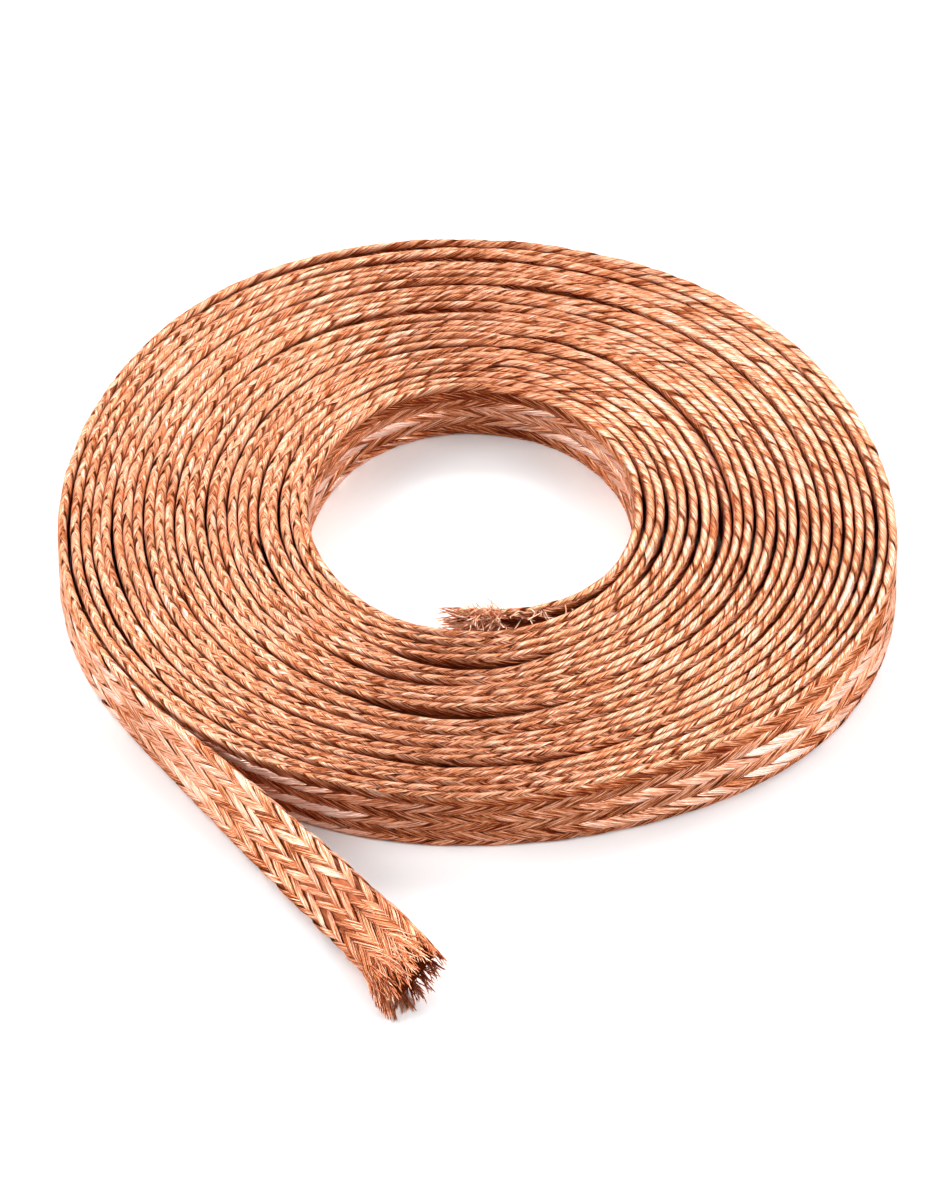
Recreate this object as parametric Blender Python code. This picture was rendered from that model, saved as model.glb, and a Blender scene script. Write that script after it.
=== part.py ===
"""A flexible busbar braid: a bare copper tube woven of fine wire, pressed flat and wound on edge.

The whole braid is one strip. It starts in a frayed end in the bore, winds outwards anticlockwise
as a flat roll, leaves the roll at a tangent, leans over and opens into a frayed mouth. Every
cross-section is a ring of points, and the strip is the loft through those rings. Lengths are in
metres and angles in degrees. The roll lies flat, with +Z up.
"""

import math

import bmesh
import bpy
from mathutils import Vector

# The braid, pressed flat
BRAID_WIDTH = 0.0100
BRAID_THICKNESS = 0.0012
EDGE_BEVEL = 0.0005
EDGE_FLAT = 0.0007

# The weave, as strands that lie side by side in columns and slant to and fro
COLUMNS = 6
LAY_ANGLE = 21.0
STRAND_RISE = 0.00014

# The roll
BORE_RADIUS = 0.0246
TURN_GAP = 0.000346
TURNS = 24
STATIONS_PER_TURN = 28
INNER_END_AT = 265.0
TAKE_OFF_AT = 211.5
WOVEN_OVERLAP = 12.0

# How the roll departs from round, at its bore and at its rim: waves round it, size, angle of a crest
BORE_WAVES = ((1, 0.00075, 90.0), (2, 0.00140, 90.0))
RIM_WAVES = (
    (1, 0.00047, -49.1),
    (2, 0.00065, -75.9),
    (3, 0.00084, -8.1),
    (4, 0.00024, -34.2),
    (5, 0.00025, -21.9),
)

# Both ends stand off the turn beside them
INNER_END_SWEEP = 34.0
INNER_END_OFFSET = 0.0022
OUTER_END_SWEEP = 70.0
OUTER_END_OFFSET = 0.0005

# The last turns lean on one side of the roll, with their feet outwards
LEAN_AT = -47.0
LEAN_SPREAD = 47.0
LEAN_MOST = 20.0
LEAN_TURNS = 3.0

# Where turns lie lower than their neighbours: turn from the bore, angle, spread, drop of the top edge
LOW_PLACES = (
    (8.2, 15.0, 34.0, 0.0016),
    (12.5, 80.0, 45.0, 0.0009),
    (16.4, 100.0, 50.0, 0.0008),
    (20.3, 75.0, 40.0, 0.0009),
    (7.6, 262.0, 44.0, 0.0009),
    (11.5, 275.0, 40.0, 0.0010),
)
LOW_TURNS = 0.62

# The free tail: along the take-off tangent, aside from it (outwards), lean inwards, opening
TAIL_ROUTE = (
    (0.000, 0.0000, 0.0, 0.00),
    (0.010, 0.0000, 2.0, 0.00),
    (0.018, -0.0003, 7.0, 0.00),
    (0.028, -0.0007, 17.0, 0.00),
    (0.040, -0.0013, 27.0, 0.10),
    (0.052, -0.0020, 37.0, 0.35),
    (0.061, -0.0027, 43.0, 0.70),
    (0.0705, -0.0034, 47.0, 1.00),
)
MOUTH_WIDTH = 0.0098
MOUTH_THICKNESS = 0.0052
MOUTH_WALL = 0.0005
MOUTH_DEPTH = 0.0130
MOUTH_RINGS = 4

# The frayed ends, as bundles of wires that spread from the end's rim
FRAY_LENGTH = 0.0064
FRAY_STEPS = 3
FRAY_SPREAD = 0.11
FRAY_TAPER = 0.72
INNER_FRAY_LENGTH = 0.0060

COPPER = (0.72, 0.31, 0.17, 1.0)
COPPER_ROUGHNESS = 0.32

# Worked out from the sizes above
PITCH = BRAID_THICKNESS + TURN_GAP
COLUMN = BRAID_WIDTH / COLUMNS
LAY = COLUMN / math.tan(math.radians(LAY_ANGLE))
FIRST_RADIUS = BORE_RADIUS + BRAID_THICKNESS / 2
TOTAL_ANGLE = 360.0 * TURNS - (INNER_END_AT - TAKE_OFF_AT)
LAST_RADIUS = FIRST_RADIUS + PITCH * TOTAL_ANGLE / 360.0


def smooth_step(value):
    """Rise from 0 to 1 with level ends as value goes from 0 to 1."""
    value = min(max(value, 0.0), 1.0)
    return value * value * (3.0 - 2.0 * value)


def through_points(points, at):
    """Read a smooth curve through rows of numbers at the place where the first number equals at."""
    last = len(points) - 2
    index = max(i for i in range(last + 1) if i == 0 or points[i][0] <= at)
    start, end = points[index], points[index + 1]
    before = points[max(index - 1, 0)]
    after = points[min(index + 2, last + 1)]
    span = end[0] - start[0]
    share = (at - start[0]) / span
    values = []
    for column in range(1, len(start)):
        slope_in = (end[column] - before[column]) / (end[0] - before[0]) * span
        slope_out = (after[column] - start[column]) / (after[0] - start[0]) * span
        square, cube = share**2, share**3
        values.append(
            (2 * cube - 3 * square + 1) * start[column]
            + (cube - 2 * square + share) * slope_in
            + (3 * square - 2 * cube) * end[column]
            + (cube - square) * slope_out
        )
    return values


def waves(rows, heading):
    """Add up rows of waves round the roll at this angle."""
    return sum(size * math.cos(math.radians(number * (heading - crest))) for number, size, crest in rows)


def bump(angle, centre, spread):
    """Rise from 0 to 1 and fall again round a centre, in a spread to either side."""
    off = (angle - centre + 180.0) % 360.0 - 180.0
    return 0.5 + 0.5 * math.cos(math.pi * off / spread) if abs(off) < spread else 0.0


def edge_width(turned):
    """Give the strip's height on edge, which is less where a turn lies low."""
    width = BRAID_WIDTH
    for turn, angle, spread, drop in LOW_PLACES:
        near = math.exp(-(((turned / 360.0 - turn) / LOW_TURNS) ** 2))
        width -= drop * near * bump(INNER_END_AT + turned, angle, 1.6 * spread)
    return width


def on_spiral(turned):
    """Give the strip's foot, its sides, its way on and its width, this many degrees from the inner end."""
    heading = INNER_END_AT + turned
    share = turned / TOTAL_ANGLE
    to_go = TOTAL_ANGLE - turned
    outward = Vector((math.cos(math.radians(heading)), math.sin(math.radians(heading)), 0.0))
    onward = Vector((-outward.y, outward.x, 0.0))
    width = edge_width(turned)
    lean = LEAN_MOST * bump(heading, LEAN_AT, LEAN_SPREAD) * max(1.0 - to_go / 360.0 / LEAN_TURNS, 0.0)
    radius = FIRST_RADIUS + PITCH * turned / 360.0
    radius += (1.0 - share) * waves(BORE_WAVES, heading) + share * waves(RIM_WAVES, heading)
    radius -= INNER_END_OFFSET * (1.0 - smooth_step(turned / INNER_END_SWEEP))
    radius += OUTER_END_OFFSET * smooth_step(1.0 - to_go / OUTER_END_SWEEP)
    radius += width * math.sin(math.radians(lean))
    side, upward = leaning(outward, lean)
    foot = outward * radius
    foot.z = BRAID_THICKNESS / 2 * math.sin(math.radians(lean))
    return foot, side, upward, onward, width


def leaning(outward, lean):
    """Turn the outward and the upward side of the strip by a lean towards the roll's middle."""
    rise, run = math.sin(math.radians(lean)), math.cos(math.radians(lean))
    return outward * run + Vector((0.0, 0.0, rise)), Vector((0.0, 0.0, run)) - outward * rise


def frame_at(along):
    """Give foot, sides, way on, width and opening this far along from the take-off (back if negative)."""
    turned = TOTAL_ANGLE + math.degrees(min(along, 0.0) / LAST_RADIUS)
    foot, side, upward, onward, width = on_spiral(turned)
    if along <= 0.0:
        return foot, side, upward, onward, width, 0.0
    aside, lean, opening = through_points(TAIL_ROUTE, along)
    outward = side
    side, upward = leaning(outward, lean)
    foot = foot + onward * along + outward * aside
    foot.z = half_thickness(0.0, opening) * math.sin(math.radians(lean))
    return foot, side, upward, onward, width + (MOUTH_WIDTH - width) * opening, opening


def half_thickness(share, opening):
    """Give half the strip's thickness at this share of its width from the edge, as flat or as open tube."""
    flat = BRAID_THICKNESS / 2
    if share in (0.0, 1.0):
        flat = BRAID_THICKNESS / 2 - 0.00015
    across = 2.0 * share - 1.0
    oval = EDGE_FLAT + (MOUTH_THICKNESS / 2 - EDGE_FLAT) * math.sqrt(max(1.0 - across**2, 0.0))
    return flat + (oval - flat) * opening


def woven_point(along, column, face, rise, inset=0.0):
    """Place a column's edge on one face of the strip: face is +1 for outside, -1 for the bore's side."""
    foot, side, upward, _, width, opening = frame_at(along)
    share = column / COLUMNS
    height = inset + share * (width - EDGE_BEVEL * (1.0 - opening) - 2 * inset)
    out = half_thickness(share, opening) + rise - inset
    return foot + upward * height + side * face * out


def crest_point(along, inset=0.0):
    """Place the strip's top edge, between its two faces."""
    foot, _, upward, _, width, _ = frame_at(along)
    return foot + upward * (width - inset)


def zigzag(column):
    """Give how far the slanting strands carry this column's edge along the strip."""
    return LAY * (column % 2)


def plain_ring(turned):
    """Make the five-sided section of a turn that lies between two others."""
    foot, side, upward, _, width = on_spiral(turned)
    half = side * BRAID_THICKNESS / 2
    shoulder = upward * (width - EDGE_BEVEL)
    return [foot + half, foot + half + shoulder], foot + upward * width, [foot - half + shoulder, foot - half]


def outer_turn_ring(along, rise):
    """Make the section of the outermost turn: slanting strands outside, plain towards the bore."""
    outer = []
    for column in range(COLUMNS + 1):
        raised = rise if column else 0.0
        outer.append(woven_point(along + zigzag(column), column, 1, raised))
    level = along + LAY / 2
    inner = [woven_point(level, COLUMNS, -1, 0.0), woven_point(level, 0, -1, 0.0)]
    return outer, crest_point(level), inner


def tail_ring(along, rise, slant=1.0, inset=0.0):
    """Make the section of the free tail, with slanting strands on both faces."""
    outer = []
    inner = []
    for column in range(COLUMNS + 1):
        place = along + zigzag(column) * slant
        raised = rise if column else 0.0
        outer.append(woven_point(place, column, 1, raised, inset))
        inner.append(woven_point(place, column, -1, raised, inset))
    inner.reverse()
    return outer, crest_point(along + slant * LAY / 2, inset), inner


def inner_end_ring(turned):
    """Make the first section, with its faces divided like the fray that grows from it."""
    outer, crest, inner = plain_ring(turned)
    steps = range(COLUMNS + 1)
    outer = [outer[0].lerp(outer[1], step / COLUMNS) for step in steps]
    inner = [inner[0].lerp(inner[1], step / COLUMNS) for step in steps]
    return outer, crest, inner


def add_ring(mesh, ring):
    """Turn a ring's points into vertices."""
    outer, crest, inner = ring
    return [mesh.verts.new(p) for p in outer], mesh.verts.new(crest), [mesh.verts.new(p) for p in inner]


def join_run(mesh, first, second):
    """Fill between two runs of vertices: quads where they match, or else one wide face."""
    if len(first) != len(second):
        mesh.faces.new(first[::-1] + second)
        return
    for low, high, next_low, next_high in zip(first, first[1:], second, second[1:]):
        mesh.faces.new((high, low, next_low, next_high))


def join_rings(mesh, first, second):
    """Fill the band of faces between two rings."""
    outer, crest, inner = first
    next_outer, next_crest, next_inner = second
    join_run(mesh, outer, next_outer)
    join_run(mesh, [outer[-1], crest, inner[0]], [next_outer[-1], next_crest, next_inner[0]])
    join_run(mesh, inner, next_inner)
    join_run(mesh, [inner[-1], outer[0]], [next_inner[-1], next_outer[0]])


def close_end(mesh, ring, turned_over):
    """Cap a ring with one face for each column and one under the crest, and give those faces."""
    outer, crest, inner = ring
    inner = inner[::-1]
    caps = [[inner[-1], crest, outer[-1]]]
    for column in range(COLUMNS):
        caps.append([outer[column], inner[column], inner[column + 1], outer[column + 1]])
    if turned_over:
        caps = [cap[::-1] for cap in caps]
    return [mesh.faces.new(cap) for cap in caps]


def close_rim(mesh, outside, inside):
    """Fill the band between a mouth's outer and inner rims, and give its faces."""
    loops = []
    for outer, crest, inner in (outside, inside):
        loops.append(outer + [crest] + inner)
    count = len(loops[0])
    faces = []
    for i in range(count):
        following = (i + 1) % count
        faces.append(mesh.faces.new((loops[0][following], loops[0][i], loops[1][i], loops[1][following])))
    return faces


def fray(mesh, faces, centre, onward, length):
    """Draw each face out into a tapering bundle of wires that spreads away from the end's middle."""
    for number, face in enumerate(faces):
        away = face.calc_center_median() - centre
        away.z = max(away.z, 0.0)
        reach = length * (0.72 + 0.28 * math.sin(2.4 * number) ** 2)
        tip = face
        for step in range(FRAY_STEPS):
            made = bmesh.ops.extrude_discrete_faces(mesh, faces=[tip])
            tip = made["faces"][0]
            middle = tip.calc_center_median()
            sway = 1.0 + 0.4 * math.sin(2.4 * number + step)
            move = onward * (reach / FRAY_STEPS) + away * FRAY_SPREAD * sway
            for vertex in tip.verts:
                vertex.co = middle + (vertex.co - middle) * FRAY_TAPER + move


def centre_on_floor(mesh):
    """Move the whole strip so that the middle of its box's underside is the origin."""
    spots = [vertex.co for vertex in mesh.verts]
    low = Vector([min(spot[axis] for spot in spots) for axis in range(3)])
    high = Vector([max(spot[axis] for spot in spots) for axis in range(3)])
    shift = Vector((-(low.x + high.x) / 2, -(low.y + high.y) / 2, -low.z))
    bmesh.ops.translate(mesh, verts=mesh.verts, vec=shift)


def copper_material():
    """Make the bare copper of the wires."""
    material = bpy.data.materials.new("bare_copper")
    material.use_nodes = True
    material.diffuse_color = COPPER
    shader = material.node_tree.nodes["Principled BSDF"]
    shader.inputs["Base Color"].default_value = COPPER
    shader.inputs["Metallic"].default_value = 1.0
    shader.inputs["Roughness"].default_value = COPPER_ROUGHNESS
    return material


def make_braid(mesh):
    """Loft the strip from its inner end to the mouth of its tail."""
    rings = [add_ring(mesh, inner_end_ring(0.0))]
    inner_cap = close_end(mesh, rings[0], False)
    station = 360.0 / STATIONS_PER_TURN
    woven_length = math.radians(360.0 + WOVEN_OVERLAP) * LAST_RADIUS
    woven_from = TOTAL_ANGLE - 360.0 - WOVEN_OVERLAP
    first_station = math.floor(INNER_END_AT / station) + 1
    angle = first_station * station - INNER_END_AT
    while angle < woven_from - station / 2:
        rings.append(add_ring(mesh, plain_ring(angle)))
        angle += station

    half_lays = round(woven_length / (LAY / 2))
    for number in range(half_lays - 4):
        rise = STRAND_RISE * (number % 2)
        rings.append(add_ring(mesh, outer_turn_ring(number * LAY / 2 - woven_length, rise)))

    tail_length = TAIL_ROUTE[-1][0]
    along = -LAY
    number = 0
    while along < tail_length - 2.5 * LAY:
        rings.append(add_ring(mesh, tail_ring(along, STRAND_RISE * (number % 2))))
        along += LAY / 2
        number += 1
    rings.append(add_ring(mesh, tail_ring(tail_length - LAY * 0.6, STRAND_RISE, 0.2)))
    rings.append(add_ring(mesh, tail_ring(tail_length, 0.0, 0.0)))
    for first, second in zip(rings, rings[1:]):
        join_rings(mesh, first, second)

    hollow = []
    for number in range(MOUTH_RINGS):
        along = tail_length - MOUTH_DEPTH * number / (MOUTH_RINGS - 1)
        hollow.append(add_ring(mesh, tail_ring(along, 0.0, 0.0, MOUTH_WALL)))
    for first, second in zip(hollow, hollow[1:]):
        join_rings(mesh, first, second)
    close_end(mesh, hollow[-1], False)
    rim = close_rim(mesh, rings[-1], hollow[0])

    foot, _, upward, onward, width, _ = frame_at(tail_length)
    fray(mesh, rim, foot + upward * width / 2, onward, FRAY_LENGTH)
    foot, _, upward, onward, width = on_spiral(0.0)
    fray(mesh, inner_cap, foot + upward * width / 2, -onward, INNER_FRAY_LENGTH)


def main():
    for old in list(bpy.data.objects):
        bpy.data.objects.remove(old, do_unlink=True)
    collection = bpy.data.collections.new("flexible_busbar_braid")
    bpy.context.scene.collection.children.link(collection)

    mesh = bmesh.new()
    make_braid(mesh)
    centre_on_floor(mesh)
    bmesh.ops.triangulate(mesh, faces=[face for face in mesh.faces if len(face.verts) > 4])
    bmesh.ops.recalc_face_normals(mesh, faces=mesh.faces)
    data = bpy.data.meshes.new("braid_strip")
    mesh.to_mesh(data)
    mesh.free()
    data.shade_smooth()
    data.set_sharp_from_angle(angle=math.radians(35.0))
    data.materials.append(copper_material())
    braid = bpy.data.objects.new("braid_strip", data)
    collection.objects.link(braid)


main()
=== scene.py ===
import math

import bpy
import numpy as np
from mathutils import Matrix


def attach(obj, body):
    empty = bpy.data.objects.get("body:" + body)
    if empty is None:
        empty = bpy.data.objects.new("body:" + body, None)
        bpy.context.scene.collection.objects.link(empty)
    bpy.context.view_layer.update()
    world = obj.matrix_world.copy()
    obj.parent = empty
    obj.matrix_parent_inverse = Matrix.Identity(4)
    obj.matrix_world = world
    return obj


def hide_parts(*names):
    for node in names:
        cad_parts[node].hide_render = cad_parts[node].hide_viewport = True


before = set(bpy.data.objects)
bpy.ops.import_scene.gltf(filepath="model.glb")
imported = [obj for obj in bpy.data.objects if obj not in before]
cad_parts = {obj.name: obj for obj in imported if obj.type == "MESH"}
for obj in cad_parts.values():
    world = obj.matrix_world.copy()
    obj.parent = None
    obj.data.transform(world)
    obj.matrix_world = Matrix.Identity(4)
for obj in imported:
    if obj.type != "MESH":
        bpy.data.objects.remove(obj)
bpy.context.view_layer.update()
bpy.ops.object.select_all(action="DESELECT")

# Camera. The photograph looks down at the roll from the front at 42 degrees through a long lens,
# with the roll's bore a little above the middle of the frame. The distances come from matching
# the roll's rims and the strip's width in the photograph.
CAMERA_DISTANCE = 1.30
CAMERA_DOWN = math.radians(42.0)
CAMERA_TARGET = (-0.000617, 0.007565, 0.0)
FOCAL_SHARE = 7.3665

camera_data = bpy.data.cameras.new("camera")
camera = bpy.data.objects.new("camera", camera_data)
bpy.context.scene.collection.objects.link(camera)
camera_data.sensor_fit = "VERTICAL"
camera_data.sensor_height = 36.0
camera_data.lens = FOCAL_SHARE * camera_data.sensor_height
camera_data.clip_start = 0.05
camera_data.clip_end = 20.0
camera.location = (
    CAMERA_TARGET[0],
    CAMERA_TARGET[1] - CAMERA_DISTANCE * math.cos(CAMERA_DOWN),
    CAMERA_TARGET[2] + CAMERA_DISTANCE * math.sin(CAMERA_DOWN),
)
camera.rotation_euler = (math.pi / 2 - CAMERA_DOWN, 0.0, 0.0)
bpy.context.scene.camera = camera

# The strip's route. The braid is one length of woven tube, pressed flat, wound on edge from the
# bore outwards and let out as a free tail. The sizes are part.py's, but the inner end stands
# further into the bore here, and of the low places only the first four are in the solid.
BRAID_WIDTH = 0.0100
BRAID_THICKNESS = 0.0012
BORE_RADIUS = 0.0246
TURN_GAP = 0.000346
TURNS = 24
INNER_END_AT = math.radians(265.0)
TAKE_OFF_AT = math.radians(211.5)
# Waves that take the roll out of round: how many to a turn, how high, and a crest's heading.
BORE_WAVES = ((1, 0.00075, 90.0), (2, 0.00140, 90.0))
RIM_WAVES = (
    (1, 0.00047, -49.1),
    (2, 0.00065, -75.9),
    (3, 0.00084, -8.1),
    (4, 0.00024, -34.2),
    (5, 0.00025, -21.9),
)
INNER_END_SWEEP = math.radians(64.0)
INNER_END_OFFSET = 0.0032
OUTER_END_SWEEP = math.radians(70.0)
OUTER_END_OFFSET = 0.0005
LEAN_AT = -47.0
LEAN_SPREAD = 47.0
LEAN_MOST = math.radians(20.0)
LEAN_TURNS = 3.0
# Places where a turn lies low: the turn, the heading, the spread to either side, and the drop.
LOW_PLACES = (
    (8.2, 15.0, 34.0, 0.0016),
    (12.5, 80.0, 45.0, 0.0009),
    (16.4, 100.0, 50.0, 0.0008),
    (20.3, 75.0, 40.0, 0.0009),
    (5.2, 269.0, 24.0, 0.0022),
    (12.2, 266.0, 22.0, 0.0017),
    (8.1, 254.0, 22.0, 0.0014),
    (19.1, 273.0, 24.0, 0.0009),
    (5.0, 40.0, 40.0, 0.0006),
    (2.0, 60.0, 50.0, 0.0006),
    (22.6, 110.0, 45.0, 0.0006),
    (6.3, 120.0, 50.0, 0.0007),
    (3.4, 245.0, 40.0, 0.0007),
    (15.2, 290.0, 50.0, 0.0006),
    (5.6, 205.0, 30.0, 0.0007),
    (14.0, 190.0, 36.0, 0.0004),
)
LOW_TURNS = 0.62
LOW_REACH = 1.6
EDGE_UNEVEN = 0.00016
EDGE_TURN_SHIFT = 2.399
EDGE_WAVER = 1.3
EDGE_SETTLES = (1.5, 0.9)
# The sway of the turns off their even winding: each wave's share, rate and phase.
TURN_SWAY = 0.00010
SWAY_WAVES = ((1.0, 1.618, 0.7), (0.8, 2.414, 2.1), (0.6, 5.303, 1.3), (0.4, 9.870, 0.0))
SWAY_SETTLES = 2.0
ROLL_CENTRE = (-0.000467, 0.016985)
# The tail's points: along the take-off tangent, aside from it, lean inwards, and how far open.
TAIL_ROUTE = np.array(
    (
        (0.000, 0.0000, 0.0, 0.00),
        (0.010, 0.0000, 2.0, 0.00),
        (0.018, -0.0003, 7.0, 0.00),
        (0.028, -0.0007, 17.0, 0.00),
        (0.040, -0.0013, 27.0, 0.10),
        (0.052, -0.0020, 37.0, 0.35),
        (0.061, -0.0027, 43.0, 0.70),
        (0.0705, -0.0034, 47.0, 1.00),
    )
)
PITCH = BRAID_THICKNESS + TURN_GAP
FIRST_RADIUS = BORE_RADIUS + BRAID_THICKNESS / 2
TOTAL_ANGLE = 2 * math.pi * TURNS - (INNER_END_AT - TAKE_OFF_AT)
WOUND_LENGTH = FIRST_RADIUS * TOTAL_ANGLE + PITCH * TOTAL_ANGLE**2 / (4 * math.pi)
TAIL_LENGTH = TAIL_ROUTE[-1, 0]


def smooth_step(value):
    """Rise from 0 to 1 with level ends."""
    value = np.clip(value, 0.0, 1.0)
    return value * value * (3.0 - 2.0 * value)


def waves(rows, heading):
    """Add up rows of waves round the roll at these angles."""
    return sum(size * np.cos(number * (heading - math.radians(crest))) for number, size, crest in rows)


def bump(heading, centre, spread):
    """Rise from 0 to 1 and fall again round a centre, in a spread to either side, both in degrees."""
    off = (np.degrees(heading) - centre + 180.0) % 360.0 - 180.0
    return np.where(np.abs(off) < spread, 0.5 + 0.5 * np.cos(math.pi * off / spread), 0.0)


def turned_at(length):
    """Give the winding angle from the inner end after this length of braid."""
    length = np.clip(length, 0.0, WOUND_LENGTH)
    growth = PITCH / (2 * math.pi)
    return (np.sqrt(FIRST_RADIUS**2 + 2 * growth * length) - FIRST_RADIUS) / growth


def tail_values(along):
    """Read the tail's aside, lean and opening through its points on a smooth curve."""
    at = np.clip(along, 0.0, TAIL_LENGTH)
    index = np.clip(np.searchsorted(TAIL_ROUTE[:, 0], at, side="right") - 1, 0, len(TAIL_ROUTE) - 2)
    start, end = TAIL_ROUTE[index], TAIL_ROUTE[index + 1]
    before = TAIL_ROUTE[np.maximum(index - 1, 0)]
    after = TAIL_ROUTE[np.minimum(index + 2, len(TAIL_ROUTE) - 1)]
    span = end[:, :1] - start[:, :1]
    share = (at[:, None] - start[:, :1]) / span
    slope_in = (end - before) / (end[:, :1] - before[:, :1]) * span
    slope_out = (after - start) / (after[:, :1] - start[:, :1]) * span
    square, cube = share**2, share**3
    values = (2 * cube - 3 * square + 1) * start + (cube - 2 * square + share) * slope_in
    values = values + (3 * square - 2 * cube) * end + (cube - square) * slope_out
    return values[:, 1], np.radians(values[:, 2]), values[:, 3]


def edge_width(turned):
    """Give the strip's height on edge, which is less where a turn lies low, and a little uneven."""
    heading = INNER_END_AT + turned
    turn = turned / (2 * math.pi)
    uneven = np.sin(EDGE_TURN_SHIFT * np.floor(turn + 0.5) + EDGE_WAVER * np.sin(heading))
    width = BRAID_WIDTH - EDGE_UNEVEN * (1 + uneven)
    for at_turn, angle, spread, drop in LOW_PLACES:
        nearness = np.exp(-(((turn - at_turn) / LOW_TURNS) ** 2))
        width = width - drop * nearness * bump(heading, angle, LOW_REACH * spread)
    inner_settle, outer_settle = EDGE_SETTLES
    ends = smooth_step(turned / inner_settle) * smooth_step((TOTAL_ANGLE - turned) / outer_settle)
    return BRAID_WIDTH + (width - BRAID_WIDTH) * ends


def turn_sway(turned):
    """Give how far the strip strays outwards from its even winding, unevenly from turn to turn."""
    sway = sum(share * np.sin(turned * rate + phase) for share, rate, phase in SWAY_WAVES)
    ends = smooth_step(turned / SWAY_SETTLES) * smooth_step((TOTAL_ANGLE - turned) / SWAY_SETTLES)
    return TURN_SWAY * sway * ends


def strip_frame(length):
    """Give the strip's foot, its outward and upward sides, its width, and how open the tube is."""
    turned = turned_at(length)
    along = length - WOUND_LENGTH
    heading = INNER_END_AT + turned
    share = turned / TOTAL_ANGLE
    to_go = TOTAL_ANGLE - turned
    zero = np.zeros_like(heading)
    outward = np.stack((np.cos(heading), np.sin(heading), zero), 1)
    onward = np.stack((-np.sin(heading), np.cos(heading), zero), 1)
    width = edge_width(turned)
    outermost = np.maximum(1.0 - to_go / (2 * math.pi) / LEAN_TURNS, 0.0)
    wound_lean = LEAN_MOST * bump(heading, LEAN_AT, LEAN_SPREAD) * outermost
    radius = FIRST_RADIUS + PITCH * turned / (2 * math.pi)
    radius = radius + (1.0 - share) * waves(BORE_WAVES, heading) + share * waves(RIM_WAVES, heading)
    radius = radius - INNER_END_OFFSET * (1.0 - smooth_step(turned / INNER_END_SWEEP))
    radius = radius + OUTER_END_OFFSET * smooth_step(1.0 - to_go / OUTER_END_SWEEP)
    radius = radius + width * np.sin(wound_lean) + turn_sway(turned)
    aside, tail_lean, opening = tail_values(along)
    free = along > 0.0
    lean = np.where(free, tail_lean, wound_lean)
    opening = np.where(free, opening, 0.0)
    reach = radius + np.where(free, aside, 0.0)
    beyond = np.where(free, along, np.minimum(length, 0.0))
    foot = outward * reach[:, None] + onward * beyond[:, None]
    foot[:, 0] += ROLL_CENTRE[0]
    foot[:, 1] += ROLL_CENTRE[1]
    foot[:, 2] += BRAID_THICKNESS / 2 * np.sin(lean)
    up = np.stack((zero, zero, np.cos(lean)), 1) - outward * np.sin(lean)[:, None]
    side = outward * np.cos(lean)[:, None] + np.stack((zero, zero, np.sin(lean)), 1)
    return foot, side, up, width, opening


# The weave. Twelve carriers of fine wire run each way round the tube and pass two over and two
# under, so that the surface is twelve columns of slanting strands, each strand as long as it is
# on top. A strand's place is its column round the tube and its length along the braid.
COLUMNS = 12
LAY = 0.00434
FOLD_RADIUS = 0.00047
STRAND_HALF = 0.00012
STRAND_CROWN = 0.00009
FLOOR_GAP = 0.00002
MOUTH_FOLD = 0.0021
MOUTH_SWELL = 1.16
# On the far left the turns are pressed together, so that their edges are wider there.
PRESSED_SHARE = 0.11
PRESSED_AT = (152.0, 62.0)


def on_tube(length, column, height):
    """Place points of the tube's wall: columns count from the top fold down the outer side."""
    foot, side, up, width, opening = strip_frame(length)
    fold = FOLD_RADIUS + (MOUTH_FOLD - FOLD_RADIUS) * opening
    rim = FOLD_RADIUS + STRAND_HALF + STRAND_CROWN
    round_tube = 2 * (width - 2 * rim) + 2 * math.pi * FOLD_RADIUS
    girth = round_tube * (1 + (MOUTH_SWELL - 1) * opening)
    straight = girth / 2 - math.pi * fold
    way = (column % COLUMNS) * girth / COLUMNS
    quarter = math.pi * fold / 2
    down = way - quarter
    under = down - straight
    rising = under - 2 * quarter
    over = rising - straight
    steps = (way < quarter, down < straight, under < 2 * quarter, rising < straight)
    turns = (way / fold, math.pi / 2, math.pi / 2 + under / fold, 1.5 * math.pi)
    levels = (straight / 2, straight / 2 - down, -straight / 2, rising - straight / 2)
    angle = np.select(steps, turns, 1.5 * math.pi + over / fold)
    level = np.select(steps, levels, straight / 2)
    reach = fold + height
    half = straight / 2 + fold + STRAND_HALF + STRAND_CROWN
    high = level + np.cos(angle) * reach + half
    pressed = 1 + PRESSED_SHARE * bump(INNER_END_AT + turned_at(length), *PRESSED_AT)
    place = foot + side * (np.sin(angle) * reach * pressed)[:, None] + up * high[:, None]
    place[:, 2] = np.maximum(place[:, 2], FLOOR_GAP)
    return place


def fold_phase(length):
    """Give how far the columns have crept round the fold: half a column from left to right."""
    heading = INNER_END_AT + turned_at(length)
    return 0.25 + 0.25 * np.cos(heading)


def mesh_piece(name, points, faces, uv, shades):
    """Make a mesh object from arrays, with a UV map along the strands and a shade (tone and painted
    light) for each point.
    """
    data = bpy.data.meshes.new(name)
    data.vertices.add(len(points))
    data.vertices.foreach_set("co", points.astype(np.float32).ravel())
    sides = faces.shape[1]
    data.loops.add(faces.size)
    data.loops.foreach_set("vertex_index", faces.astype(np.int32).ravel())
    data.polygons.add(len(faces))
    data.polygons.foreach_set("loop_start", np.arange(0, faces.size, sides, dtype=np.int32))
    data.polygons.foreach_set("loop_total", np.full(len(faces), sides, dtype=np.int32))
    data.update(calc_edges=True)
    layer = data.uv_layers.new(name="strands")
    layer.data.foreach_set("uv", uv[faces.ravel()].astype(np.float32).ravel())
    attribute = data.attributes.new("shade", "FLOAT", "POINT")
    attribute.data.foreach_set("value", shades.astype(np.float32))
    data.shade_smooth()
    piece = bpy.data.objects.new(name, data)
    bpy.context.scene.collection.objects.link(piece)
    return piece


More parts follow.
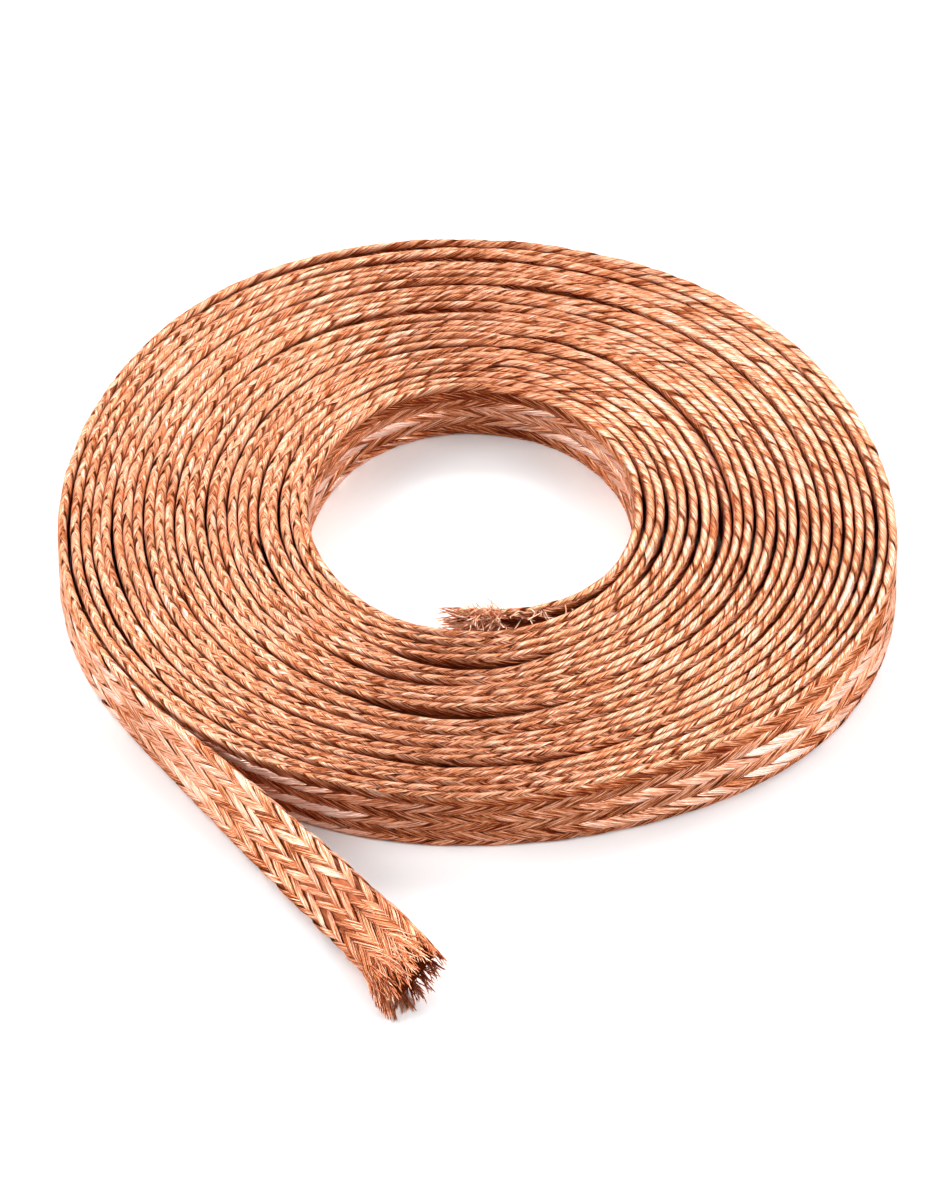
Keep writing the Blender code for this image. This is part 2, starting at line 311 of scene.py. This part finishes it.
def grid_faces(rows, columns, count):
    """Give the quads of this many separate grids of points, laid out one after another."""
    row, column = np.meshgrid(np.arange(rows - 1), np.arange(columns - 1), indexing="ij")
    corner = (row * columns + column).ravel()
    quad = np.stack((corner, corner + 1, corner + columns + 1, corner + columns), 1)
    starts = np.arange(count)[:, None, None] * rows * columns
    return (starts + quad[None]).reshape(-1, 4)


# How a strand dives under its neighbours, what tells one strand from the next, the ridges of
# wire on it and the painted shade in the grooves between them, and how the weave rises and
# slackens along the tail.
DIVE = 0.17
DIVE_RUN = 0.30
BREADTH_VARIES = 0.08
HEIGHT_VARIES = 0.14
LIFT_VARIES = 0.00002
TILT_VARIES = 0.00004
SIDE_WAIST = 0.15
RIDGE_HEIGHT = 0.00008
RIDGE_WANDER = 0.25
RIDGE_SHADE = 0.45
RISE_FROM = WOUND_LENGTH + 0.008
RISE_RUN = 0.045
SLACK_FROM = WOUND_LENGTH + 0.030
SLACK_RUN = 0.030
SLACK_LOSS = 0.40

# Painted light and shade round the roll, with the heading and spread of each place in degrees.
# The flat faces get painted shade at the near and far sides, and a painted sheen that lightens
# strands of one slant and darkens the other where that slant would catch the lamps. The folded
# edges get painted shade down their sides and a little at the near, far and left sides.
NEAR_SIDE = 270.0
FAR_SIDE = 90.0
FACE_PAINTED_SHADE = 0.50
FACE_SHADE_NEAR = 45.0
FACE_SHADE_FAR = 32.0
SHEEN = 0.50
EDGE_SPREAD = 72.0
EDGE_PAINTED_SHADE = 0.21
EDGE_SHADE_LEFT = 0.10
EDGE_LEFT_AT = (182.0, 60.0)
DEEP_SIDE = 0.46
DEEP_MORE = 0.34
DEEP_LESS = 0.24
DEEP_LESS_AT = (150.0, 50.0)
DEEP_FROM = 0.34
DEEP_RUN = 0.43

# A strand's look: the height of its crown, its waist, how far painted shade darkens its edges and
# ends, how far it strays, how flat it starts on the tail, its tint and how far that varies, and its
# painted sheen, as the heading and spread of each place and how strongly the forward strands
# darken there.
EDGE_LOOK = {
    "crown": 0.00008,
    "waist": 0.09,
    "edge": 0.50,
    "end": 0.18,
    "stray": 0.06,
    "rise": 0.0,
    "tint": 0.63,
    "vary": 0.08,
    "sheen": (),
    "folded": True,
}
FACE_LOOK = {
    "crown": 0.00006,
    "waist": 0.14,
    "edge": 0.42,
    "end": 0.10,
    "stray": 0.07,
    "rise": 0.0,
    "tint": 0.69,
    "vary": 0.16,
    "sheen": ((236.0, 38.0, 1.15), (312.0, 50.0, -0.8)),
    "folded": False,
}
# The first turn's inner face in the bore: a lighter tint than the outer face, which is painted light,
# and a painted sheen of its own.
BORE_LOOK = {**FACE_LOOK, "tint": 0.76, "sheen": ((50.0, 36.0, 1.0), (132.0, 38.0, -1.0))}
TAIL_LOOK = {
    "crown": 0.00013,
    "waist": 0.15,
    "edge": 0.45,
    "end": 0.26,
    "stray": 0.05,
    "rise": 0.5,
    "tint": 0.54,
    "vary": 0.12,
    "sheen": (),
    "folded": False,
}


def face_shine(look, heading, forward):
    """Give the share of a strand's tint that stays on the strip's flat faces, after painted shade and
    sheen.
    """
    painted_shade = bump(heading, NEAR_SIDE, FACE_SHADE_NEAR) + bump(heading, FAR_SIDE, FACE_SHADE_FAR)
    sheen = SHEEN * sum(way * bump(heading, centre, spread) for centre, spread, way in look["sheen"])
    return (1 - FACE_PAINTED_SHADE * painted_shade) * (1 - sheen if forward else 1 + sheen)


def edge_shade(track, length):
    """Give the share of a point's shade that stays on the folded edges, after their painted shade."""
    heading = INNER_END_AT + turned_at(length)
    from_fold = np.abs((track + COLUMNS / 4) % (COLUMNS / 2) - COLUMNS / 4)
    facing = bump(heading, NEAR_SIDE, EDGE_SPREAD) + bump(heading, FAR_SIDE, EDGE_SPREAD)
    deepest = DEEP_SIDE + DEEP_MORE * facing - DEEP_LESS * bump(heading, *DEEP_LESS_AT)
    deep = deepest * smooth_step((from_fold - DEEP_FROM) / DEEP_RUN)
    painted_shade = EDGE_PAINTED_SHADE * facing + EDGE_SHADE_LEFT * bump(heading, *EDGE_LEFT_AT)
    return (1 - painted_shade) * (1 - deep)


def strands(name, start, stop, columns, steps, spans, seed, look, ridges=0):
    """Weave the strands that lie on top in these columns between two lengths of the braid.

    A strand swells to its crown and narrows by its waist where it dives under the next ones. It has
    painted shade at its edges and ends, strays along the braid, and on the tail rises towards the
    mouth. With ridges it also has that many bunches of wire as real ridges side by side, with painted
    shade in the grooves between them. Strands with a sheen, and those on folded edges, also take
    the painted light and shade of their place round the roll.
    """
    rng = np.random.default_rng(seed)
    share = np.linspace(-DIVE, 1 + DIVE, steps + 1)
    across = np.linspace(-1.0, 1.0, spans + 1)
    grid_share, grid_across = np.meshgrid(share, across, indexing="ij")
    grid_share, grid_across = grid_share.ravel(), grid_across.ravel()
    bow = np.clip(1 - (2 * grid_share - 1) ** 2, -0.4, 1.0)
    lift = np.sin(np.clip(np.minimum(grid_share, 1 - grid_share) / DIVE_RUN, -1, 1) * math.pi / 2)
    swell = np.sqrt(np.clip(1 - grid_across**2, 0.0, 1.0)) * look["crown"]
    # Painted shade at the strand's edges and ends, where it meets and dives under its neighbours.
    edge_and_end_shade = np.clip(1.10 - grid_across**6 * look["edge"] - (1 - bow) ** 2 * look["end"], 0.0, 1.0)
    first = round(start / LAY)
    count = round(stop / LAY) - first
    lengths, tracks, heights, maps, shades = [], [], [], [], []
    for column in columns:
        forward = column % 2 == 0
        begin = (np.arange(first, first + count) + (0.0 if forward else 0.5)) * LAY
        jitter = rng.normal(0.0, 1.0, (count, 6))
        heading = (INNER_END_AT + turned_at(begin))[:, None]
        narrow = look["waist"] + SIDE_WAIST * (0.5 - 0.5 * np.cos(heading)) * (ridges == 0)
        relief = 1.0 - look["rise"] * (1.0 - smooth_step((begin[:, None] - RISE_FROM) / RISE_RUN))
        slack = SLACK_LOSS * smooth_step((begin[:, None] - SLACK_FROM) / SLACK_RUN)
        breadth = 0.5 * (1 - narrow * (1 - bow)) * (1 + BREADTH_VARIES * jitter[:, 3:4] - slack)
        astray = look["stray"] * jitter[:, 4:5]
        length = begin[:, None] + (grid_share + grid_across * breadth + astray) * LAY
        track = column + (grid_share if forward else 1 - grid_share)
        height = (STRAND_HALF * lift + swell)[None, :] * (1 + HEIGHT_VARIES * jitter[:, :1]) * relief
        wander = RIDGE_WANDER * np.sin(3.0 * grid_share + 9.0 * jitter[:, :1])
        furrow = np.abs(np.sin((grid_across * ridges + wander) * math.pi / 2)) if ridges else 1.0
        height = height + RIDGE_HEIGHT * (furrow - 1.0) * relief
        height = height + jitter[:, 1:2] * LIFT_VARIES + jitter[:, 5:] * TILT_VARIES * grid_across
        lengths.append(length)
        tracks.append(np.broadcast_to(track, length.shape))
        heights.append(height)
        offset = rng.integers(0, 60, (count, 1)) + 0.0 * grid_share
        maps.append(np.stack((grid_share + offset, grid_across[None, :] * 0.5 + offset), 2))
        tint = look["tint"] + look["vary"] * jitter[:, 2:3]
        # Painted shade and sheen by the strand's place round the roll and its slant.
        if look["sheen"]:
            tint = tint * face_shine(look, heading, forward)
        # Painted shade in the grooves between the ridges of wire.
        groove = 1 - RIDGE_SHADE * relief * (1 - furrow)
        shades.append(np.clip(edge_and_end_shade[None, :] * tint * groove, 0, 1))
    length = np.concatenate(lengths).ravel()
    track = np.concatenate(tracks).ravel() + fold_phase(length)
    points = on_tube(length, track, np.concatenate(heights).ravel())
    faces = grid_faces(steps + 1, spans + 1, count * len(columns))
    backward = np.repeat([column % 2 == 1 for column in columns], count * steps * spans)
    faces[backward] = faces[backward][:, ::-1]
    shades = np.concatenate(shades).ravel()
    # Painted shade down the folded edges' sides and at the near, far and left sides.
    if look["folded"]:
        shades = shades * edge_shade(track, length)
    return mesh_piece(name, points, faces, np.concatenate(maps).reshape(-1, 2), shades)


# Bare copper. The wires are drawn bright and lie side by side in each strand, so the finish is a
# shiny metal with fine streaks along the strand and a tint that differs from strand to strand. Each
# point's shade also carries painted light and shade, which the colour ramps turn into darker, redder
# copper in the grooves and paler copper on the painted sheen.
class Socket:
    """One output of a node tree, with arithmetic that adds Math nodes."""

    def __init__(self, tree, link):
        self.tree = tree
        self.link = link

    def combine(self, operation, first, second):
        """Add a Math node that works on two values."""
        return self.tree.node("ShaderNodeMath", {"operation": operation}, {0: first, 1: second})

    def __add__(self, other):
        return self.combine("ADD", self, other)

    def __mul__(self, other):
        return self.combine("MULTIPLY", self, other)

    def __sub__(self, other):
        return self.combine("SUBTRACT", self, other)

    def __rsub__(self, other):
        return self.combine("SUBTRACT", other, self)


class Finish:
    """A material and the one method that adds a node to it."""

    def __init__(self, name):
        self.material = bpy.data.materials.new(name)
        self.material.use_nodes = True
        self.nodes = self.material.node_tree.nodes
        self.links = self.material.node_tree.links
        self.shader = self.nodes["Principled BSDF"]

    def node(self, kind, settings=None, inputs=None, output=0):
        """Add a node, set it up, feed its inputs and give one of its outputs."""
        made = self.nodes.new(kind)
        for key, value in (settings or {}).items():
            if key == "stops":
                made.color_ramp.elements[0].color = value[0][1]
                made.color_ramp.elements[-1].color = value[-1][1]
                for position, colour in value[1:-1]:
                    made.color_ramp.elements.new(position).color = colour
            else:
                setattr(made, key, value)
        for key, value in (inputs or {}).items():
            self.feed(made, key, value)
        return Socket(self, made.outputs[output])

    def feed(self, node, key, value):
        """Link a socket to a node's input, or set the input to a plain value."""
        if isinstance(value, Socket):
            self.links.new(value.link, node.inputs[key])
        else:
            node.inputs[key].default_value = value

    def surface(self, **sockets):
        """Feed the surface's own inputs, named with underscores for spaces."""
        for key, value in sockets.items():
            self.feed(self.shader, key.replace("_", " "), value)


STREAK_MEAN = 0.50
GROOVE_DROP = 0.03
STREAK_LENGTH = 1.1
ROUGHEST = 0.42
ROUGH_SHARE = 0.16
COPPER_GLINT = (0.90, 0.50, 0.33, 1.0)


def copper_finish(name, stops, bunches, relief, streaks, anisotropic, metallic):
    """Make streaked copper: colours from painted shade to crown, bunches of wire to a strand, their
    relief.
    """
    finish = Finish(name)
    uv = finish.node("ShaderNodeUVMap", {"uv_map": "strands"})
    shade = finish.node("ShaderNodeAttribute", {"attribute_name": "shade"}, output=2)
    scale = (STREAK_LENGTH, bunches, 1.0)
    stretched = finish.node("ShaderNodeMapping", {}, {"Vector": uv, "Scale": scale})
    streak = finish.node(
        "ShaderNodeTexNoise",
        {"noise_dimensions": "2D"},
        {"Vector": stretched, "Scale": 1.0, "Detail": 3.0, "Roughness": 0.7},
    )
    # The shade attribute carries each point's tone with its painted light and shade.
    mask = shade + streak * streaks - (STREAK_MEAN * streaks + GROOVE_DROP)
    colour = finish.node("ShaderNodeValToRGB", {"stops": stops}, {0: mask})
    rough = ROUGHEST - streak * ROUGH_SHARE
    height = finish.node("ShaderNodeBump", {}, {"Strength": 1.0, "Distance": relief, "Height": streak})
    finish.surface(Base_Color=colour, Roughness=rough, Normal=height)
    finish.shader.inputs["Metallic"].default_value = metallic
    finish.shader.inputs["Anisotropic"].default_value = anisotropic
    finish.shader.inputs["Anisotropic Rotation"].default_value = 0.25
    finish.shader.inputs["Specular Tint"].default_value = COPPER_GLINT
    return finish.material


# The colour ramps, from copper in the deepest painted shade to the palest lit copper.
edge_stops = (
    (0.00, (0.13, 0.013, 0.003, 1)),
    (0.25, (0.47, 0.13, 0.045, 1)),
    (0.50, (0.78, 0.33, 0.165, 1)),
    (0.75, (0.94, 0.54, 0.365, 1)),
    (1.00, (0.99, 0.76, 0.64, 1)),
)
face_stops = (
    (0.00, (0.12, 0.012, 0.003, 1)),
    (0.25, (0.50, 0.145, 0.048, 1)),
    (0.50, (0.82, 0.38, 0.22, 1)),
    (0.75, (0.96, 0.62, 0.48, 1)),
    (1.00, (0.99, 0.80, 0.70, 1)),
)
# Copper in painted shade, for the inner layer seen in the gaps of the weave.
shade_painted_stops = (
    (0.0, (0.20, 0.030, 0.009, 1)),
    (1.0, (0.58, 0.16, 0.055, 1)),
)
wire_stops = (
    (0.0, (0.32, 0.052, 0.012, 1)),
    (0.5, (0.84, 0.33, 0.155, 1)),
    (1.0, (0.99, 0.71, 0.53, 1)),
)
copper = copper_finish(
    "bright_copper", face_stops, 8.0, 0.00014, streaks=2.3, anisotropic=0.0, metallic=0.92
)
wound_copper = copper_finish(
    "wound_copper", edge_stops, 8.0, 0.00022, streaks=2.5, anisotropic=0.8, metallic=0.90
)
wire_copper = copper_finish(
    "wire_copper", wire_stops, 8.0, 0.00004, streaks=1.6, anisotropic=0.0, metallic=0.65
)
shade_painted_copper = copper_finish(
    "shade_painted_copper", shade_painted_stops, 9.0, 0.00005, streaks=2.3, anisotropic=0.0, metallic=0.3
)


def finish_piece(piece, material):
    """Dress a piece of the braid: its material and the body it rides on."""
    piece.data.materials.append(material)
    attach(piece, "root")
    return piece


# The wound roll. One strip of braid goes round 24 times on edge. Its folded top edges are what
# shows from above; the outermost turn shows its whole outer face and the first turn its inner one.
OUTER_TURN_LENGTH = 0.42
OUTER_FRONT = (0.375, 0.210)
FIRST_FACE_LENGTH = 0.19
BOTTOM_SPLIT = 3.3
TOP_COLUMNS = (-2, -1, 0)
BOTTOM_COLUMNS = (5, 6)
INNER_FACE_COLUMNS = (6, 7, 8, 9)
OUTER_FACE_COLUMNS = (1, 2, 3, 4, 5, 6)
WIRE_RIDGES = 5
outer_from = WOUND_LENGTH - OUTER_TURN_LENGTH
ring_starts = (0.0, 1.1, 2.1, 3.0, 3.85, 4.6, 5.3, 5.95, outer_from, WOUND_LENGTH)
for number, (start, stop) in enumerate(zip(ring_starts, ring_starts[1:])):
    name = f"top_edges_{number + 1}"
    edges = strands(
        name, start, stop, TOP_COLUMNS, steps=8, spans=6, seed=10 + number, look=EDGE_LOOK
    )
    finish_piece(edges, wound_copper)
    if number == 0:
        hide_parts("braid_strip")

bottom_stretches = (
    ("bottom_edges_inner", 0.0, BOTTOM_SPLIT),
    ("bottom_edges_outer", BOTTOM_SPLIT, outer_from),
)
for number, (name, start, stop) in enumerate(bottom_stretches):
    edges = strands(
        name, start, stop, BOTTOM_COLUMNS, steps=4, spans=2, seed=30 + number, look=EDGE_LOOK
    )
    finish_piece(edges, wound_copper)

inner_face = strands(
    "first_turn_face",
    0.0,
    FIRST_FACE_LENGTH,
    INNER_FACE_COLUMNS,
    steps=8,
    spans=10,
    seed=32,
    look=BORE_LOOK,
    ridges=WIRE_RIDGES,
)
finish_piece(inner_face, copper)

front_from, front_to = (WOUND_LENGTH - back for back in OUTER_FRONT)
outer_stretches = (
    ("outer_turn_start", outer_from, front_from, 6, 0),
    ("outer_turn_front", front_from, front_to, 15, WIRE_RIDGES),
    ("outer_turn_back", front_to, WOUND_LENGTH, 6, 0),
)
for number, (name, start, stop, spans, ridges) in enumerate(outer_stretches):
    outer_face = strands(
        name,
        start,
        stop,
        OUTER_FACE_COLUMNS,
        steps=9,
        spans=spans,
        seed=33 + number,
        look=FACE_LOOK,
        ridges=ridges,
    )
    finish_piece(outer_face, copper)

# The inner layer. Under the strands lies a plain tube of copper in painted shade, dark and red, so
# that the small gaps between them show the depth of the weave and not the table.
CORE_COLUMNS = (0.0, 0.35, 1.2, 3.0, 4.8, 5.65, 6.0, 6.35, 7.2, 9.0, 10.8, 11.65)
CORE_SHADE = 0.4
CORE_START = -0.0006
CORE_STEP = 0.004
CORE_INSET = 0.00010


def core_strip(name, start, stop, step, inset):
    """Make a stretch of the inner layer, closed all round."""
    lengths = np.linspace(start, stop, max(2, int((stop - start) / step)))
    grid_length, grid_column = np.meshgrid(lengths, CORE_COLUMNS, indexing="ij")
    points = on_tube(grid_length.ravel(), grid_column.ravel(), np.full(grid_length.size, -inset))
    sides = len(CORE_COLUMNS)
    closing = np.arange(len(lengths) - 1) * sides
    last = closing + sides - 1
    seam = np.stack((last, closing, closing + sides, last + sides), 1)
    faces = np.concatenate((grid_faces(len(lengths), sides, 1), seam))
    uv = np.stack((grid_length.ravel() / LAY, grid_column.ravel()), 1)
    shades = np.full(len(points), CORE_SHADE)
    return finish_piece(mesh_piece(name, points, faces, uv, shades), shade_painted_copper)


for number, (start, stop) in enumerate(((0.0, 2.2), (2.2, 4.4), (4.4, WOUND_LENGTH))):
    core_strip(f"inner_layer_{number + 1}", start + CORE_START, stop, CORE_STEP, CORE_INSET)

# The free tail. The same strip leaves the roll at a tangent, leans over and opens into a tube. Its
# strands carry their wires as real ridges, and near the mouth the weave slackens.
SLACK_END = 0.0075
TAIL_COLUMNS = range(-6, 6)
TAIL_CORE_PAST = 0.0028
TAIL_CORE_STEP = 0.002
TAIL_CORE_INSET = 0.00022
tail_end = WOUND_LENGTH + TAIL_LENGTH
woven_end = tail_end - SLACK_END
tail = strands(
    "free_tail",
    WOUND_LENGTH,
    woven_end,
    TAIL_COLUMNS,
    steps=12,
    spans=20,
    seed=50,
    look=TAIL_LOOK,
    ridges=WIRE_RIDGES,
)
finish_piece(tail, copper)
tail_core = core_strip(
    "tail_inner_layer", WOUND_LENGTH, tail_end + TAIL_CORE_PAST, TAIL_CORE_STEP, TAIL_CORE_INSET
)

# The wires of a frayed end. Past the end of the weave they keep a part of their slant, spread
# and bend apart, and on the tube's lower side they reach further and flare outwards.
WIRE_RADIUS = 0.000095
WIRE_TIP = 0.2
WIRES_TO_MAP = 12.0
MAP_SHIFT = 0.37
NO_WIRES_WAY = (0.31, 0.27, 0.91)
COMBED = 0.45
FOOT_REACH = 0.35
LANE_VARIES = 0.03
FREE_RUN = 0.006
FREE_AT_END = 0.6
GATHERED = 0.85
SPREADS = 0.25
SPREAD_VARIES = 0.12
STRAYS = 0.24
STRAY_GROWTH = 1.3
WAVERS = 0.05
WEAVE_DEPTH = 1.5
WIRE_LIFT = 0.0001
WIRE_LIFT_VARIES = 0.00006
FRAY_LIFT = 0.00004
FRAY_LIFT_VARIES = 0.00012
FRAY_TOP_SHARE = 0.4


def wire_tubes(name, paths, sides, shades):
    """Run a thin closed tube along each path, all with the same number of points."""
    count, steps, _ = paths.shape
    onward = np.gradient(paths, axis=1)
    onward /= np.linalg.norm(onward, axis=2, keepdims=True)
    across = np.cross(onward[:, 0], NO_WIRES_WAY)
    rings = []
    for step in range(steps):
        ahead = onward[:, step]
        across = across - ahead * np.sum(across * ahead, axis=1, keepdims=True)
        across /= np.linalg.norm(across, axis=1, keepdims=True)
        other = np.cross(ahead, across)
        thick = WIRE_RADIUS * (WIRE_TIP if step in (0, steps - 1) else 1.0)
        for angle in np.arange(sides) * 2 * math.pi / sides:
            outward = across * math.cos(angle) + other * math.sin(angle)
            rings.append(paths[:, step] + thick * outward)
    points = np.stack(rings, 1).reshape(-1, 3)
    step, side = np.meshgrid(np.arange(steps - 1), np.arange(sides), indexing="ij")
    low = (step * sides + side).ravel()
    near = (step * sides + (side + 1) % sides).ravel()
    quad = np.stack((low, near, near + sides, low + sides), 1)
    faces = (np.arange(count)[:, None, None] * steps * sides + quad[None]).reshape(-1, 4)
    shape = (count, steps, sides)
    along = np.broadcast_to(np.arange(steps)[None, :, None] / steps, shape)
    round_it = np.broadcast_to(np.arange(sides)[None, None, :] / sides / WIRES_TO_MAP, shape)
    start = np.arange(count)[:, None, None] * MAP_SHIFT
    uv = np.stack((along + start, round_it + start), 3).reshape(-1, 2)
    return mesh_piece(name, points, faces, uv, np.repeat(shades, steps * sides))


def loose_wires(name, woven, end, reach, per_carrier, steps, seed, flare, tints):
    """Follow each carrier's wires from where the weave slackens, past the end, to their cut tips."""
    rng = np.random.default_rng(seed)
    way = math.copysign(1.0, end - woven)
    choices = (np.arange(COLUMNS), (1.0, -1.0), np.arange(per_carrier))
    carrier, slant, wire = (grid.ravel()[:, None] for grid in np.meshgrid(*choices, indexing="ij"))
    count = len(carrier)
    lane = (wire + 0.5) / per_carrier - 0.5 + rng.normal(0, LANE_VARIES, (count, 1))
    at_end = np.where(slant > 0, end / LAY + carrier, carrier + 0.5 - end / LAY)
    foot_side = 0.5 - 0.5 * np.cos(at_end * 2 * math.pi / COLUMNS)
    tip = end + way * (rng.uniform(*reach, (count, 1)) + FOOT_REACH * foot_side * reach[1])
    share = np.linspace(0.0, 1.0, steps)[None, :]
    length = woven + (tip - woven) * share
    woven_length = length - (1 - COMBED) * way * np.maximum(way * (length - end), 0.0)
    track = np.where(slant > 0, woven_length / LAY + carrier, carrier + 0.5 - woven_length / LAY)
    over = slant * np.sin(math.pi * track)
    free = np.clip(way * (length - end) / FREE_RUN + FREE_AT_END, 0.0, None)
    held = np.clip(1 - free, 0.0, 1.0)
    spread = SPREADS * smooth_step(free) + SPREAD_VARIES * rng.normal(0, 1, (count, 1)) * free
    shifted = length + lane * LAY * (GATHERED + spread)
    stray = rng.normal(0, 1, (count, 3, 1))
    track = track + stray[:, 0] * STRAYS * free**STRAY_GROWTH
    track = track + WAVERS * np.sin(share * 9 + stray[:, 1] * 3) * free
    height = STRAND_HALF * WEAVE_DEPTH * over * held + WIRE_LIFT_VARIES * stray[:, 2] + WIRE_LIFT
    bend = FRAY_LIFT + FRAY_LIFT_VARIES * np.abs(stray[:, 1])
    height = height + free**2 * bend * (FRAY_TOP_SHARE + foot_side)
    points = on_tube(shifted.ravel(), (track + fold_phase(shifted)).ravel(), height.ravel())
    points = points.reshape(count, steps, 3)
    flared = flare * foot_side**3 * free**2
    points[:, :, 0] += math.cos(TAKE_OFF_AT) * flared
    points[:, :, 1] += math.sin(TAKE_OFF_AT) * flared
    points[:, :, 2] = np.maximum(points[:, :, 2], WIRE_RADIUS + FLOOR_GAP)
    return wire_tubes(name, points, 4, rng.uniform(*tints, count))


# The mouth's wires, and the tail's path: the strip's middle, from the roll to where the weave
# slackens.
WEAVE_OVERLAP = 0.001
PATH_PAST = 0.0005
PATH_POINTS = 24
mouth_wires = loose_wires(
    "mouth_wires",
    woven=woven_end - WEAVE_OVERLAP,
    end=tail_end,
    reach=(0.0026, 0.0038),
    per_carrier=24,
    steps=24,
    seed=60,
    flare=0.0011,
    tints=(0.02, 0.84),
)
finish_piece(mouth_wires, wire_copper)
foot, _, up, _, _ = strip_frame(np.linspace(WOUND_LENGTH, woven_end + PATH_PAST, PATH_POINTS))
tail_path = foot + up * (BRAID_WIDTH / 2)

# The frayed inner end. The strip's cut end stands off the first turn in the bore, and its wires
# have come out of the weave: a brush that points on along the strip and a tangle of stray curls.
CURL_TURN = 2.6
CURL_AXIS = (0, 0, 0.4)
# The curls take the lightest tints, painted light so that they read as lit where they stand in shade.
CURL_TINTS = (0.75, 1.1)
CURL_STEPS = 10
inner_wires = loose_wires(
    "inner_end_wires",
    woven=0.006,
    end=0.0,
    reach=(0.0004, 0.0017),
    per_carrier=11,
    steps=14,
    seed=61,
    flare=0.0,
    tints=(0.35, 1.0),
)
finish_piece(inner_wires, wire_copper)


def curled_wires(name, count, spread, tracks, headings, rises, sizes, seed):
    """Let wires out of the strip's top edge near its inner end, each on a curl of its own."""
    rng = np.random.default_rng(seed)
    length = rng.uniform(*spread, count)
    start = on_tube(length, rng.uniform(*tracks, count), np.full(count, STRAND_HALF))
    heading = np.radians(rng.uniform(*headings, count))
    rise = rng.uniform(*rises, count)
    level = np.cos(rise)
    ahead = np.stack((np.cos(heading) * level, np.sin(heading) * level, np.sin(rise)), 1)
    axis = rng.normal(0, 1, (count, 3)) + CURL_AXIS
    axis /= np.linalg.norm(axis, axis=1, keepdims=True)
    step_length = rng.uniform(*sizes, (count, 1)) / CURL_STEPS
    turning = rng.uniform(-1.0, 1.0, (count, 1)) * CURL_TURN / CURL_STEPS
    spots = [start]
    for _ in range(CURL_STEPS - 1):
        ahead = ahead + np.cross(axis, ahead) * turning
        ahead /= np.linalg.norm(ahead, axis=1, keepdims=True)
        spots.append(spots[-1] + ahead * step_length)
    return wire_tubes(name, np.stack(spots, 1), 5, rng.uniform(*CURL_TINTS, count))


tuft = curled_wires(
    "inner_end_tuft",
    110,
    spread=(0.0012, 0.0070),
    tracks=(-0.8, 1.4),
    headings=(130.0, 350.0),
    rises=(-0.2, 0.9),
    sizes=(0.0012, 0.0032),
    seed=62,
)
finish_piece(tuft, wire_copper)
strays = curled_wires(
    "inner_end_strays",
    22,
    spread=(0.0070, 0.0190),
    tracks=(-0.2, 1.0),
    headings=(190.0, 380.0),
    rises=(-0.5, 0.3),
    sizes=(0.0018, 0.0038),
    seed=63,
)
finish_piece(strays, wire_copper)

# The white table and the light of a small photo studio: a softbox on each side and three behind,
# in an even white surround.
bpy.ops.mesh.primitive_plane_add(size=6.0, location=(0.0, 0.0, 0.0))
table = bpy.context.object
table.name = "table"
white = Finish("white_table")
white.surface(Base_Color=(0.97, 0.97, 0.98, 1.0), Roughness=0.9)
table.data.materials.append(white.material)

world = bpy.data.worlds.new("studio")
bpy.context.scene.world = world
world.use_nodes = True
background = world.node_tree.nodes["Background"]
background.inputs["Color"].default_value = (1.0, 1.0, 1.0, 1.0)
background.inputs["Strength"].default_value = 0.30


def softbox(name, place, size, power):
    """Hang a rectangular lamp that faces the roll."""
    lamp = bpy.data.lights.new(name, "AREA")
    lamp.shape = "RECTANGLE"
    lamp.size, lamp.size_y = size
    lamp.energy = power
    holder = bpy.data.objects.new(name, lamp)
    bpy.context.scene.collection.objects.link(holder)
    holder.location = place
    aim = -holder.location
    holder.rotation_euler = aim.to_track_quat("-Z", "Y").to_euler()


softbox("left_softbox", (-0.9, -0.1, 0.55), (0.7, 0.5), 9.8)
softbox("right_softbox", (0.9, -0.2, 0.55), (0.7, 0.5), 9.6)
softbox("back_softbox", (0.0, 0.95, 0.80), (0.6, 0.4), 4.5)
softbox("back_left_softbox", (-0.55, 0.75, 0.62), (0.5, 0.5), 5.6)
softbox("back_right_softbox", (0.55, 0.75, 0.62), (0.5, 0.5), 5.2)

bpy.context.scene.view_settings.view_transform = "Standard"
